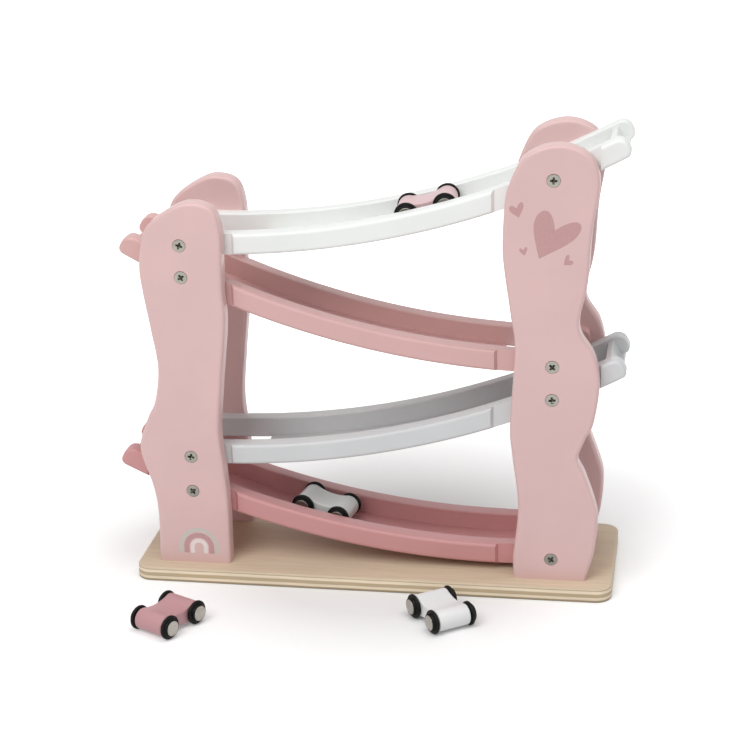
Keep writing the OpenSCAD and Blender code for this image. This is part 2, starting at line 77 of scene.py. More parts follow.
class TrackSizes(bpy.types.PropertyGroup):
    """Sizes shared by several pieces"""

    base_length: length("Base length", "Length of the plywood base", 0.300)
    base_width: length("Base width", "Width of the plywood base", 0.100)
    base_thickness: length("Base thickness", "Thickness of the plywood base", 0.009)
    base_corner: length("Base corner", "Radius of the base's corners", 0.010)
    panel_thickness: length("Panel thickness", "Thickness of a side panel", 0.012)
    panel_inner: length("Panel place", "Distance of a panel's inner face from the middle", 0.0268)
    panel_width: length("Panel layout width", "Width that the wavy outlines are laid out in", 0.060)
    left_height: length("Left height", "Height of the left panels above the base", 0.2356)
    right_height: length("Right height", "Height of the right panels above the base", 0.2745)
    panel_round: length("Panel edge", "Radius of the rounded-over panel edges", 0.0022)
    track_radius: length("Track radius", "Radius of the rails' top edge", 0.5245)
    rail_height: length("Rail height", "Height of a rail", 0.013)
    rail_thickness: length("Rail thickness", "Thickness of a rail", 0.011)
    channel: length("Channel", "Clear width between two rails", 0.036)
    rail_round: length("Rail edge", "Radius of the rounded-over rail edges", 0.0021)
    floor_drop: length("Floor depth", "Depth of a ramp's floor under the rails' top edge", 0.0114)
    floor_thickness: length("Floor thickness", "Thickness of a ramp's floor", 0.0016)
    wall_drop: length("Wall drop", "Distance of a wall's top under the rails' top edge", 0.002)
    wall_thickness: length("Wall thickness", "Thickness of the wall across a high end", 0.0042)
    wheelbase: length("Wheelbase", "Distance between a car's axles", 0.0242)
    wheel_track: length("Wheel track", "Distance between the middles of left and right tyres", 0.0260)
    tyre_radius: length("Tyre radius", "Outer radius of a tyre", 0.0074)
    tyre_width: length("Tyre width", "Width of a tyre", 0.0038)
    disc_radius: length("Disc radius", "Radius of the metal disc in a tyre", 0.0047)
    lobe_radius: length("Lobe radius", "Radius of a car body's rounded ends", 0.0065)
    waist: length("Waist", "Half the height of a car body's waist", 0.0044)
    car_width: length("Car width", "Width of a car's body", 0.0212)
    car_round: length("Car edge", "Radius of the rounded-over car edges", 0.0011)
    screw_head: length("Screw head", "Radius of a screw head", 0.0039)
    screw_shank: length("Screw shank", "Radius of a screw's shank", 0.0017)


class TrackColours(bpy.types.PropertyGroup):
    """Colours of the paints, inks and woods"""

    panel: colour("Panels", "Paint of the side panels", "#DBB9B7")
    first_ramp: colour("First ramp", "Paint of the top ramp", "#ECEEEC")
    second_ramp: colour("Second ramp", "Paint of the second ramp", "#D4ABA8")
    third_ramp: colour("Third ramp", "Paint of the third ramp", "#CFD1D2")
    last_ramp: colour("Last ramp", "Paint of the bottom ramp", "#CA9292")
    pink_car: colour("Pale pink car", "Paint of the car on the top ramp", "#D8B9BB")
    grey_car: colour("Pale grey car", "Paint of the car on the bottom ramp", "#D5D7D5")
    white_car: colour("White car", "Paint of the white car", "#E4E4E4")
    rose_car: colour("Rose car", "Paint of the rose car", "#BB8D91")
    heart: colour("Hearts", "Ink of the printed hearts", "#C09594")
    arch_outer: colour("Outer arch", "Ink of the outer arch of the small rainbow", "#C8C2BB")
    arch_middle: colour("Middle arch", "Ink of the middle arch of the small rainbow", "#C09698")
    arch_inner: colour("Inner arch", "Ink of the inner arch of the small rainbow", "#E8DCDB")
    veneer: colour("Veneer", "Birch veneer on the base's faces", "#D2BFA6")
    ply: colour("Long ply", "Edge of the plies whose grain runs along the edge", "#EBDAC0")
    cross_ply: colour("Cross ply", "End grain of the plies between them", "#C1AD8E")


# Shapes: every function returns arrays in metres


def spline(points, steps):
    """Curve through the points, tangent at each to the chord of its neighbours: on a stretch from q to r,
    half of (2q + t(r - p) + t2(2p - 5q + 4r - s) + t3(3q - p - 3r + s))."""
    points = np.asarray(points, float)
    p = np.vstack([points[:1], points[:-2]])[:, None]
    q, r = points[:-1, None], points[1:, None]
    s = np.vstack([points[2:], points[-1:]])[:, None]
    t = (np.arange(steps) / steps)[None, :, None]
    curve = (2 * q + t * (r - p) + t**2 * (2 * p - 5 * q + 4 * r - s) + t**3 * (3 * q - p - 3 * r + s)) / 2
    return np.vstack([curve.reshape(-1, 2), points[-1:]])


def resample(line, count):
    """The line again as count points at equal steps of its length."""
    run = np.concatenate([[0], np.cumsum(np.linalg.norm(np.diff(line, axis=0), axis=1))])
    at = np.linspace(0, run[-1], count)
    return np.column_stack([np.interp(at, run, line[:, k]) for k in (0, 1)])


def inset_directions(ring):
    """For each point of a closed ring, the vector that moves both its edges inwards by one unit:
    the sum of the two edges' inward normals over 1 plus their scalar product."""
    edge = np.roll(ring, -1, 0) - ring
    edge = edge / np.linalg.norm(edge, axis=1)[:, None]
    x, z = ring[:, 0], ring[:, 1]
    area = np.sum(x * np.roll(z, -1) - np.roll(x, -1) * z)
    normal = np.column_stack([-edge[:, 1], edge[:, 0]]) * np.sign(area)
    before = np.roll(normal, 1, 0)
    return (normal + before) / np.maximum(1 + np.sum(normal * before, axis=1), 0.35)[:, None]


def grid_faces(rows, count):
    """Quads between the rows of a grid. Each row is a closed ring of count points."""
    k, j = np.meshgrid(np.arange(rows - 1) * count, np.arange(count), indexing="ij")
    j2 = (j + 1) % count
    return np.stack([k + j, k + j2, k + count + j2, k + count + j], axis=-1).reshape(-1, 4)


def stack(outlines, depths):
    """Closed solid from side views at rising depths. Each outline is an upper line and then, backwards,
    a lower line with as many points, and quads between the two lines close both ends."""
    levels, count = outlines.shape[:2]
    depth = np.broadcast_to(np.asarray(depths)[:, None], (levels, count))
    points = np.stack([outlines[..., 0], depth, outlines[..., 1]], axis=-1)
    i = np.arange(count // 2 - 1)
    cap = np.column_stack([i, i + 1, count - 2 - i, count - 1 - i])
    side = grid_faces(levels, count)[:, [0, 3, 2, 1]]
    return points.reshape(-1, 3), np.vstack([cap[:, ::-1], cap + (levels - 1) * count, side])


def slab(upper, lower, y0, y1, round0, round1, steps=5, footed=False):
    """Plate between the depths y0 and y1 whose side view lies between two lines with as many points each.
    Its edges are rounded over: at the angle f the outline is inset by r(1 - sin f) at the depth r(1 - cos f).
    A narrow flat margin inside each rounding keeps the shading of the flat faces even. A footed plate keeps
    the edge between the lines' first points sharp, where it stands on another piece."""
    ring = np.vstack([upper, lower[::-1]])
    inward = inset_directions(ring)
    if footed:
        inward[[0, -1], 1] = 0.0
    f = np.linspace(0, math.pi / 2, steps + 1)
    margin = 0.3 * MM
    sine, rise = np.sin(f), 1 - np.cos(f)
    inset = [round0 + margin, *round0 * (1 - sine), *round1 * (1 - sine[::-1]), round1 + margin]
    depths = [y0, *y0 + round0 * rise, *y1 - round1 * rise[::-1], y1]
    return stack(ring + np.array(inset)[:, None, None] * inward, depths)


def lathe(profile, centre, axis, segments):
    """Surface of the profile, given as radius and distance along the axis, turned about the axis."""
    profile = np.asarray(profile, float)
    axis = np.asarray(axis, float) / np.linalg.norm(axis)
    side = np.cross(axis, [0.0, 0.0, 1.0])
    side = side / np.linalg.norm(side) if np.linalg.norm(side) > 1e-6 else np.array([1.0, 0.0, 0.0])
    up = np.cross(side, axis)
    t = np.arange(segments) * 2 * math.pi / segments
    spoke = np.cos(t)[:, None] * side + np.sin(t)[:, None] * up
    points = np.asarray(centre) + profile[:, None, :1] * spoke + profile[:, None, 1:] * axis
    return points.reshape(-1, 3), grid_faces(len(profile), segments)


def rounded(profile, radius, steps=4):
    """The profile with a parabola in place of each inner corner, between points at the radius from it."""
    profile = np.asarray(profile, float)
    a, b, c = profile[:-2], profile[1:-1], profile[2:]
    la = np.linalg.norm(a - b, axis=1)[:, None]
    lc = np.linalg.norm(c - b, axis=1)[:, None]
    p = b + (a - b) / la * np.minimum(radius, la * 0.45)
    q = b + (c - b) / lc * np.minimum(radius, lc * 0.45)
    t = np.linspace(0, 1, steps + 1)[None, :, None]
    curve = (1 - t) ** 2 * p[:, None] + 2 * t * (1 - t) * b[:, None] + t**2 * q[:, None]
    return np.vstack([profile[:1], curve.reshape(-1, 2), profile[-1:]])


def joined(parts):
    """Several points and faces as one pair of arrays."""
    starts = np.cumsum([0] + [len(p[0]) for p in parts[:-1]])
    return np.vstack([p[0] for p in parts]), np.vstack([p[1] + s for p, s in zip(parts, starts)])


def piece(name, points, faces, merge=False, sharp=35.0):
    """A mesh object from arrays, shaded smooth but for edges sharper than the angle sharp.
    Its faces are turned outwards."""
    mesh = bpy.data.meshes.new(name)
    mesh.from_pydata(points.tolist(), [], faces.tolist())
    mesh.shade_smooth()
    work = bmesh.new()
    work.from_mesh(mesh)
    if merge:
        bmesh.ops.remove_doubles(work, verts=work.verts, dist=1e-7)
    bmesh.ops.recalc_face_normals(work, faces=work.faces)
    work.to_mesh(mesh)
    work.free()
    mesh.set_sharp_from_angle(angle=math.radians(sharp))
    made = bpy.data.objects.new(name, mesh)
    bpy.context.scene.collection.objects.link(made)
    return made


def carve(target, points, faces):
    """Takes closed solids out of a piece."""
    cutter = piece("cutter", points, faces, merge=True)
    cut = target.modifiers.new("cut", "BOOLEAN")
    cut.operation, cut.solver, cut.object = "DIFFERENCE", "EXACT", cutter
    graph = bpy.context.evaluated_depsgraph_get()
    mesh = bpy.data.meshes.new_from_object(target.evaluated_get(graph))
    target.modifiers.clear()
    old, target.data = target.data, mesh
    bpy.data.meshes.remove(old)
    bpy.data.objects.remove(cutter)
    mesh.name = target.name
    mesh.set_sharp_from_angle(angle=math.radians(35))


def finish_piece(made, material, nodes, body=BODY):
    """Gives a piece its material and its place in the model."""
    made.data.materials.clear()
    made.data.materials.append(material)
    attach(made, body)
    if nodes:
        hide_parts(*nodes)


def box_solid(low, high):
    """The eight corners and six faces of a box."""
    x, y, z = [np.array([a, b]) for a, b in zip(low, high)]
    points = np.array(np.meshgrid(x, y, z, indexing="ij")).reshape(3, -1).T
    faces = np.array([[0, 1, 3, 2], [4, 6, 7, 5], [0, 4, 5, 1], [2, 3, 7, 6], [0, 2, 6, 4], [1, 5, 7, 3]])
    return points, faces


# Layout of the toy

# Panel outlines from the foot's left corner over the top to its right corner,
# as shares of the layout width from the centre line and of the panel's height
LEFT_OUTLINE_SHARES = (
    (-0.400, 0.000), (-0.390, 0.140), (-0.430, 0.218), (-0.540, 0.323), (-0.443, 0.408), (-0.352, 0.459),
    (-0.300, 0.552), (-0.353, 0.659), (-0.410, 0.757), (-0.432, 0.822), (-0.393, 0.896), (-0.304, 0.942),
    (-0.065, 0.984), (0.133, 1.000), (0.345, 0.983), (0.425, 0.925), (0.425, 0.840), (0.418, 0.759),
    (0.430, 0.675), (0.358, 0.506), (0.313, 0.374), (0.346, 0.270), (0.370, 0.168), (0.368, 0.000),
)  # fmt: skip
RIGHT_OUTLINE_SHARES = (
    (-0.394, 0.000), (-0.403, 0.051), (-0.352, 0.175), (-0.413, 0.298), (-0.435, 0.368), (-0.388, 0.539),
    (-0.428, 0.619), (-0.495, 0.727), (-0.510, 0.780), (-0.487, 0.871), (-0.428, 0.922), (-0.275, 0.977),
    (0.033, 1.000), (0.320, 0.978), (0.430, 0.922), (0.362, 0.809), (0.325, 0.697), (0.248, 0.597),
    (0.398, 0.534), (0.455, 0.466), (0.403, 0.379), (0.317, 0.337), (0.247, 0.291), (0.317, 0.256),
    (0.430, 0.184), (0.455, 0.142), (0.430, 0.074), (0.345, 0.000),
)  # fmt: skip
LEFT_PANEL_X, RIGHT_PANEL_X = -112.5 * MM, 113 * MM
SCREW_X = 112.3 * MM
SCREW_RISE = 1.7 * MM
# Corner radii of a rail: top and underside of the high end, and the low end
EAR_TOP, EAR_BOTTOM, LOW_END = 6.5 * MM, 4 * MM, 5 * MM
# Angle above a ramp's lowest point where its floor ends at the drop gap
FLOOR_END_ANGLE = 3.45
WALL_INSET = 9 * MM
SEAT_SLOPE = 1.7 * MM
# Radii of the base's lower and upper edges, and of the edges that are only eased
BASE_ROUNDS = (0.7 * MM, 1.4 * MM)
RAIL_EASE, FLOOR_EASE, WALL_EASE, WALL_ROUND = 0.9 * MM, 0.3 * MM, 0.2 * MM, 0.6 * MM
# How deep a wall's foot stands in the floor
WALL_ROOT = 0.4 * MM
PANEL_SCREW_LENGTH, BASE_SCREW_LENGTH, BASE_SCREW_STEP = 19 * MM, 28 * MM, 12 * MM
# Gap round a screw's head in a panel and in the base
PANEL_SCREW_GAP, BASE_SCREW_GAP = 0.4 * MM, 0.1 * MM
AXLE_RADIUS = 0.99 * MM
# A tyre is stepped: its tread takes this share of its width, and the shoulder beside it lies this much lower
TREAD_SHARE, TYRE_STEP = 0.56, 1.7 * MM
CAR_LIFT = 0.15 * MM
INK_FILM = 0.04 * MM
# The photograph's camera: place, angles in degrees, focal length and sensor width in millimetres
CAMERA_PLACE = Vector((199.602, -1174.151, 560.107)) * MM
CAMERA_YAW, CAMERA_PITCH, CAMERA_ROLL = 9.711, 20.046, -1.377
CAMERA_LENS, CAMERA_SENSOR = 97.39, 36.0


class Ramp:
    """One ramp: its lowest point, the angles up to both ends, the side of its high end, the inner ends of its
    seats and the outer end that both share."""

    def __init__(self, name, x, z, sweep, low, side, seats, seat_end):
        self.name, self.x, self.z = name, x * MM, z * MM
        self.sweep, self.low, self.side = sweep, low, side
        self.seats, self.seat_end = (seats[0] * MM, seats[1] * MM), seat_end * MM

    def centre(self):
        """Centre of the ramp's arcs, as x and z."""
        return np.array([self.x, self.z + sizes().track_radius])

    def polar(self, radius, angle):
        """Points at a radius and at angles in degrees above the lowest point, towards the high end."""
        a = np.radians(np.asarray(angle, float))
        return self.centre() + np.stack([self.side * radius * np.sin(a), -radius * np.cos(a)], axis=-1)

    def screw_height(self, x):
        """Height of a panel screw at the place x: a little above the middle of the rail."""
        s = sizes()
        middle = s.track_radius + s.rail_height / 2
        return self.z + s.track_radius - math.sqrt(middle**2 - (x - self.x) ** 2) + SCREW_RISE


RAMPS = (
    Ramp("first_ramp", -101.0, 222.6, 28.75, 2.1, RIGHT, (-81.0, 75.0), 138.7),
    Ramp("second_ramp", 111.7, 153.2, 29.7, 2.1, LEFT, (-82.5, 76.5), 138.7),
    Ramp("third_ramp", -104.6, 85.8, 29.15, 2.1, RIGHT, (-87.9, 74.1), 140.6),
    Ramp("last_ramp", 80.8, 26.4, 26.85, 5.0, LEFT, (-86.1, 76.8), 143.8),
)


def sizes():
    return bpy.context.scene.track_sizes


def colours():
    return bpy.context.scene.track_colours


# Materials


def linear(value, fade=1.0):
    """Linear RGBA of an sRGB hex value, times fade."""
    s = np.array([int(value[k : k + 2], 16) for k in (1, 3, 5)]) / 255
    rgb = np.where(s <= 0.04045, s / 12.92, ((s + 0.055) / 1.055) ** 2.4) * fade
    return (*[float(c) for c in rgb], 1.0)


def add(tree, kind, settings=None, links=None):
    """Adds a node, sets its sockets (by number or name) or attributes, and links sockets to its inputs."""
    made = tree.nodes.new(kind)
    for key, value in (settings or {}).items():
        if isinstance(key, int) or (key in made.inputs and not hasattr(made, str(key))):
            made.inputs[key].default_value = value
        else:
            setattr(made, key, value)
    for key, socket in (links or {}).items():
        tree.links.new(socket, made.inputs[key])
    return made


def surface(name):
    """A new material: its tree, its shader and its Object coordinates."""
    made = bpy.data.materials.new(name)
    made.use_nodes = True
    tree = made.node_tree
    tree.nodes.clear()
    shader = add(tree, "ShaderNodeBsdfPrincipled")
    add(tree, "ShaderNodeOutputMaterial", links={"Surface": shader.outputs[0]})
    return made, tree, shader, add(tree, "ShaderNodeTexCoord").outputs["Object"]


def noise(tree, place, size, detail, **more):
    """Noise of a size in millimetres."""
    settings = {"Scale": 1 / (size * MM), "Detail": detail, **more}
    return add(tree, "ShaderNodeTexNoise", settings, {0: place}).outputs["Fac"]


def stretched(tree, place, scale, turn=(0.0, 0.0, 0.0)):
    """Coordinates multiplied along each axis: a noise is drawn out where the scale is low."""
    return add(tree, "ShaderNodeMapping", {3: scale, 2: turn}, {0: place}).outputs[0]


def spread(tree, value, low, high, start=0.3, stop=0.7):
    """A value whose stretch from start to stop becomes low to high, clamped there."""
    return add(tree, "ShaderNodeMapRange", {1: start, 2: stop, 3: low, 4: high}, {0: value}).outputs[0]


def combined(tree, operation, *values):
    """Result of a math node. Each value is a number or a socket."""
    numbers = {k: value for k, value in enumerate(values) if isinstance(value, float)}
    sockets = {k: value for k, value in enumerate(values) if k not in numbers}
    return add(tree, "ShaderNodeMath", {"operation": operation, **numbers}, sockets).outputs[0]


def tinted(tree, value, strength):
    """An sRGB hex value times a strength."""
    settings = {"operation": "SCALE", 0: linear(value)[:3]}
    return add(tree, "ShaderNodeVectorMath", settings, {"Scale": strength}).outputs[0]


def colour_ramp(tree, value, stops):
    """Colour by a value. Each stop is a position, an sRGB hex value and, where it has one, a fade."""
    made = add(tree, "ShaderNodeValToRGB", links={0: value})
    ramp = made.color_ramp
    while len(ramp.elements) < len(stops):
        ramp.elements.new(1.0)
    for element, (at, *shade) in zip(ramp.elements, stops):
        element.position, element.color = at, linear(*shade)
    return made.outputs[0]


def bump(tree, height, strength, depth):
    """Normals of a relief of a depth in millimetres."""
    settings = {"Strength": strength, "Distance": depth * MM}
    return add(tree, "ShaderNodeBump", settings, {"Height": height}).outputs[0]


def feed(tree, shader, inputs):
    """Sets a shader's inputs, each to a constant or a socket."""
    for key, value in inputs.items():
        if isinstance(value, bpy.types.NodeSocket):
            tree.links.new(value, shader.inputs[key])
        else:
            shader.inputs[key].default_value = value


def painted_birch(name, value, along=(1.0, 6.0, 6.0), roughness=0.37):
    """Satin acrylic paint sprayed on birch. The eye gets an even colour with a faint cloudiness,
    a soft sheen, and the wood's grain as fine ridges of about 1 mm that run along the piece."""
    made, tree, shader, place = surface(name)
    cloud = noise(tree, place, 45, 3.0, Roughness=0.55)
    grain = noise(tree, stretched(tree, place, along), 7, 4.0, Roughness=0.6)
    spray = noise(tree, place, 1.2, 2.0)
    relief = combined(tree, "MULTIPLY_ADD", spray, 0.35, grain)
    feed(tree, shader, {
        "Base Color": tinted(tree, value, spread(tree, cloud, 0.965, 1.03)),
        "Normal": bump(tree, relief, 0.22, 0.12),
        "Roughness": spread(tree, cloud, roughness - 0.05, roughness + 0.08),
        "IOR": 1.48,
        "Specular IOR Level": 0.5,
    })  # fmt: skip
    return made


def birch_plywood(name):
    """Birch plywood under clear matt lacquer. The faces show pale veneer with soft streaks along X,
    and the edges show the plies: pale where the grain runs along the edge, brown where it ends there,
    with a dark glue line between, each as thick as in 9 mm plywood. The lowest band is darker still:
    the ply's own brown end grain with painted shade under the eased lower edge."""
    made, tree, shader, place = surface(name)
    c = colours()
    height = add(tree, "ShaderNodeSeparateXYZ", links={0: place}).outputs["Z"]
    wavy = combined(tree, "MULTIPLY_ADD", noise(tree, place, 30, 2.0), 0.5 * MM, height)
    share = spread(tree, wavy, 0.0, 1.0, 0.25 * MM, 9.25 * MM)
    # The first two stops, cross ply faded to 0.62 and 0.70, are the ply's brown end grain darkened further by
    # painted shade along the bottom of the edge
    stops = (
        (0.0, c.cross_ply, 0.62), (0.15, c.cross_ply, 0.70), (0.20, c.ply, 1.0), (0.36, c.ply, 0.97),
        (0.40, c.cross_ply, 0.80), (0.44, c.cross_ply, 1.0), (0.60, c.cross_ply, 0.94), (0.64, c.ply, 0.9),
        (0.68, c.ply, 1.04), (0.83, c.ply, 1.0), (0.865, c.cross_ply, 0.66), (0.895, c.veneer, 0.92),
        (0.93, c.veneer, 1.0), (1.0, c.veneer, 1.0),
    )  # fmt: skip
    grain = noise(tree, stretched(tree, place, (1.0, 22.0, 22.0)), 38, 6.0, Roughness=0.62, Distortion=0.35)
    figure = noise(tree, stretched(tree, place, (1.0, 5.0, 5.0)), 90, 3.0, Distortion=0.8)
    streak = spread(tree, combined(tree, "MULTIPLY_ADD", figure, 0.6, grain), 0.86, 1.10, 0.5, 1.1)
    plies = {0: colour_ramp(tree, share, stops), "Scale": streak}
    feed(tree, shader, {
        "Base Color": add(tree, "ShaderNodeVectorMath", {"operation": "SCALE"}, plies).outputs[0],
        "Normal": bump(tree, grain, 0.3, 0.1),
        "Roughness": spread(tree, grain, 0.48, 0.62),
        "Specular IOR Level": 0.3,
    })  # fmt: skip
    return made


def printed_ink(name, value):
    """Screen-printed ink on the paint: an even tone with a fine speckle where the paint shows through."""
    made, tree, shader, place = surface(name)
    speck = noise(tree, place, 0.8, 2.0)
    feed(tree, shader, {
        "Base Color": tinted(tree, value, spread(tree, speck, 0.96, 1.07, 0.35, 0.75)),
        "Roughness": spread(tree, speck, 0.42, 0.52),
    })  # fmt: skip
    return made


def moulded_rubber(name):
    """Black moulded rubber: a soft broad sheen, and a fine mould grain of 0.4 mm with dust in it."""
    made, tree, shader, place = surface(name)
    grain = noise(tree, place, 0.4, 3.0)
    dust = noise(tree, place, 4, 4.0)
    feed(tree, shader, {
        "Base Color": colour_ramp(tree, dust, ((0.35, "#080807"), (0.75, "#141312"))),
        "Normal": bump(tree, grain, 0.25, 0.03),
        "Roughness": spread(tree, dust, 0.38, 0.54),
        "IOR": 1.52,
        "Specular IOR Level": 0.16,
    })  # fmt: skip
    return made


def worked_metal(name, value, roughness, scratch):
    """Bare metal with fine random scratches: bright, broad highlights that break up along the scratches.
    The scratches are drawn 0.15 to 0.5 mm wide, coarser than real ones, so that they show."""
    made, tree, shader, place = surface(name)
    lines = noise(tree, stretched(tree, place, (1.0, 1.0, 7.0), (0.3, 0.5, 0.2)), scratch, 3.0)
    stain = noise(tree, place, 3, 3.0)
    feed(tree, shader, {
        "Metallic": 1.0,
        "Base Color": tinted(tree, value, spread(tree, stain, 0.86, 1.05)),
        "Normal": bump(tree, lines, 0.2, 0.02),
        "Roughness": spread(tree, lines, roughness - 0.06, roughness + 0.1),
    })  # fmt: skip
    return made


# Pieces


def ring_halves(outline, count):
    """An outline from the left foot over the top to the right foot, as its left and its right line."""
    top = int(np.argmax(outline[:, 1]))
    left = resample(outline[: top + 1], count + 1)[:-1]
    right = resample(outline[top:][::-1], count + 1)[:-1]
    return left, right


def countersinks(places, axis, gap, depth):
    """Holes for countersunk screws: a cone that leaves a gap round the head, then the shank's hole."""
    s = sizes()
    head, shank = s.screw_head + gap, s.screw_shank + 0.05 * MM
    profile = [(0, -MM), (head, -MM), (head, 0), (shank, head - shank), (shank, depth), (0, depth)]
    return joined([lathe(profile, place, axis, 40) for place in places])


class TOY_OT_base_plate(bpy.types.Operator):
    """Plywood base: a rounded rectangle whose long edges are eased, with countersunk holes underneath"""

    bl_idname = "toy.base_plate"
    bl_label = "Base plate"

    def execute(self, context):
        s = sizes()
        half, wide, r = s.base_length / 2, s.base_width / 2, s.base_corner
        t = np.radians(np.linspace(0, 90, 11))
        # Half outline in plan, from the left end to the right end: corner arc, long side, corner arc
        along = np.linspace(-half + r, half - r, 31)[1:-1]
        x = np.concatenate([-half + r - r * np.cos(t), along, half - r + r * np.sin(t)])
        y = np.concatenate([wide - r + r * np.sin(t), np.full(29, wide), wide - r + r * np.cos(t)])
        points, faces = slab(
            np.column_stack([x, y]), np.column_stack([x, -y]), 0.0, s.base_thickness, *BASE_ROUNDS
        )
        made = piece("base_board", points[:, [0, 2, 1]], faces)
        carve(made, *countersinks(base_screw_places(), (0, 0, 1), BASE_SCREW_GAP, 8 * MM))
        finish_piece(made, birch_plywood("birch_plywood"), ["base_plate"])
        return {"FINISHED"}


def base_screw_places():
    """The screws under the base: two under each panel's foot."""
    s = sizes()
    y = s.panel_inner + s.panel_thickness / 2
    steps = (-BASE_SCREW_STEP, BASE_SCREW_STEP)
    middles = (LEFT_PANEL_X, RIGHT_PANEL_X)
    return [(x + step, face * y, 0.0) for x in middles for face in (FRONT, BACK) for step in steps]


def panel_screw_places(side, face):
    """The screws of one panel: one into a rail of each ramp."""
    s = sizes()
    x, y = side * SCREW_X, face * (s.panel_inner + s.panel_thickness)
    return [(x, y, ramp.screw_height(x)) for ramp in RAMPS]


class TOY_OT_side_panels(bpy.types.Operator):
    """Four wavy panels with rounded-over edges and countersunk holes"""

    bl_idname = "toy.side_panels"
    bl_label = "Side panels"

    def execute(self, context):
        s = sizes()
        paint = painted_birch("panel_paint_on_birch", colours().panel, along=(6.0, 6.0, 1.0))
        sides = (("left", LEFT_OUTLINE_SHARES, LEFT_PANEL_X, s.left_height, LEFT),
                 ("right", RIGHT_OUTLINE_SHARES, RIGHT_PANEL_X, s.right_height, RIGHT))  # fmt: skip
        for word, shares, middle, height, side in sides:
            outline = spline(shares, 12) * [s.panel_width, height] + [middle, s.base_thickness]
            left, right = ring_halves(outline, 150)
            for face_word, face in (("front", FRONT), ("back", BACK)):
                low, high = sorted((face * s.panel_inner, face * (s.panel_inner + s.panel_thickness)))
                points, faces = slab(left, right, low, high, s.panel_round, s.panel_round, 6, footed=True)
                made = piece(f"{word}_{face_word}_board", points, faces)
                places = panel_screw_places(side, face)
                carve(made, *countersinks(places, (0, -face, 0), PANEL_SCREW_GAP, 7.5 * MM))
                finish_piece(made, paint, [f"{word}_{face_word}_panel"])
        return {"FINISHED"}


def corner(ramp, edge, angle, radius, up, end, steps=7):
    """Points of a rounded corner, from where it leaves the long arc to where it meets the end line.
    Its centre lies the radius inside both of them."""
    from_centre = edge + up * radius
    turn = angle - end * math.degrees(math.asin(radius / from_centre))
    middle = ramp.polar(from_centre, turn)
    a, b = math.radians(turn), math.radians(angle)
    across = -up * np.array([ramp.side * math.sin(a), -math.cos(a)])
    out = end * np.array([ramp.side * math.cos(b), math.sin(b)])
    t = np.linspace(0, math.pi / 2, steps)[:, None]
    d = np.cos(t) * across + np.sin(t) * out
    return middle + radius * d / np.linalg.norm(d, axis=1)[:, None], turn


def rail_lines(ramp):
    """A rail's side view as two lines from its low end to its high end: the top edge and the underside,
    each an arc with a rounded corner at both ends."""
    s = sizes()
    lines = []
    for edge, up, high_r in ((s.track_radius, 1, EAR_TOP), (s.track_radius + s.rail_height, -1, EAR_BOTTOM)):
        first, start = corner(ramp, edge, -ramp.low, LOW_END, up, -1)
        last, stop = corner(ramp, edge, ramp.sweep, high_r, up, 1)
        middle = ramp.polar(edge, np.linspace(start, stop, 74)[1:-1])
        lines.append(np.vstack([first[::-1], middle, last]))
    return lines


def band_lines(ramp, inner, outer, start, stop, count):
    """Two arcs of a ramp between two angles, at an inner and an outer radius."""
    angles = np.linspace(start, stop, count)
    return ramp.polar(inner, angles), ramp.polar(outer, angles)


class TOY_OT_ramps(bpy.types.Operator):
    """Four ramps: two thick rails with panel seats, a thin floor and a wall across the high end"""

    bl_idname = "toy.ramps"
    bl_label = "Ramps"

    def execute(self, context):
        s = sizes()
        half, r_floor = s.channel / 2, s.track_radius + s.floor_drop
        values = (colours().first_ramp, colours().second_ramp, colours().third_ramp, colours().last_ramp)
        slots = ("white_paint", "pink_paint", "grey_paint", "rose_paint")
        for ramp, value, slot in zip(RAMPS, values, slots):
            paint = painted_birch(f"{slot}_on_birch", value)
            top, under = rail_lines(ramp)
            for word, face in (("front", FRONT), ("back", BACK)):
                low, high = sorted((face * half, face * (half + s.rail_thickness)))
                rounds = (s.rail_round, RAIL_EASE) if face == FRONT else (RAIL_EASE, s.rail_round)
                points, faces = slab(top, under, low, high, *rounds, 6)
                made = piece(f"{ramp.name}_{word}_bar", points, faces)
                seats = [
                    seat_solid(face, near, side * ramp.seat_end)
                    for near, side in ((ramp.seats[0], LEFT), (ramp.seats[1], RIGHT))
                ]
                carve(made, *joined(seats))
                finish_piece(made, paint, [f"{ramp.name}_{word}_rail"])
            wall = ramp.sweep - math.degrees(math.asin(WALL_INSET / r_floor))
            thick = math.degrees(math.asin(s.wall_thickness / 2 / r_floor))
            start = -ramp.low if ramp is RAMPS[-1] else FLOOR_END_ANGLE
            stop = ramp.sweep - math.degrees(math.asin(EAR_BOTTOM / (s.track_radius + s.rail_height)))
            strip = band_lines(ramp, r_floor, r_floor + s.floor_thickness, start, stop, 90)
            made = piece(f"{ramp.name}_strip", *slab(*strip, -half, half, FLOOR_EASE, FLOOR_EASE, 2))
            finish_piece(made, paint, [f"{ramp.name}_floor"])
            walls = [("wall", wall - thick, wall + thick)]
            if ramp is RAMPS[-1]:
                walls.append(("stop", -ramp.low, -ramp.low + 2 * thick))
            for word, a, b in walls:
                made = cross_wall(ramp, f"{ramp.name}_{word}_block", a, b, half)
                finish_piece(made, paint, [f"{ramp.name}_{word}"])
        return {"FINISHED"}


def seat_solid(face, near, far):
    """The solid that clears a panel's seat on a rail: a tall box whose near end slants, so that the seat
    runs out towards the middle of the rail over the slope's length."""
    s = sizes()
    slope = math.copysign(SEAT_SLOPE, far)
    depth = s.channel / 2 + s.rail_thickness - s.panel_inner
    points, faces = box_solid((0.0, 0.0, 0.0), (1.0, 1.0, 0.4))
    at_far, at_out = points[:, 0] > 0.5, points[:, 1] > 0.5
    x = np.where(at_far, far, np.where(at_out, near - slope * MM / depth, near + slope))
    y = face * np.where(at_out, s.panel_inner + depth + MM, s.panel_inner)
    return np.column_stack([x, y, points[:, 2]]), faces


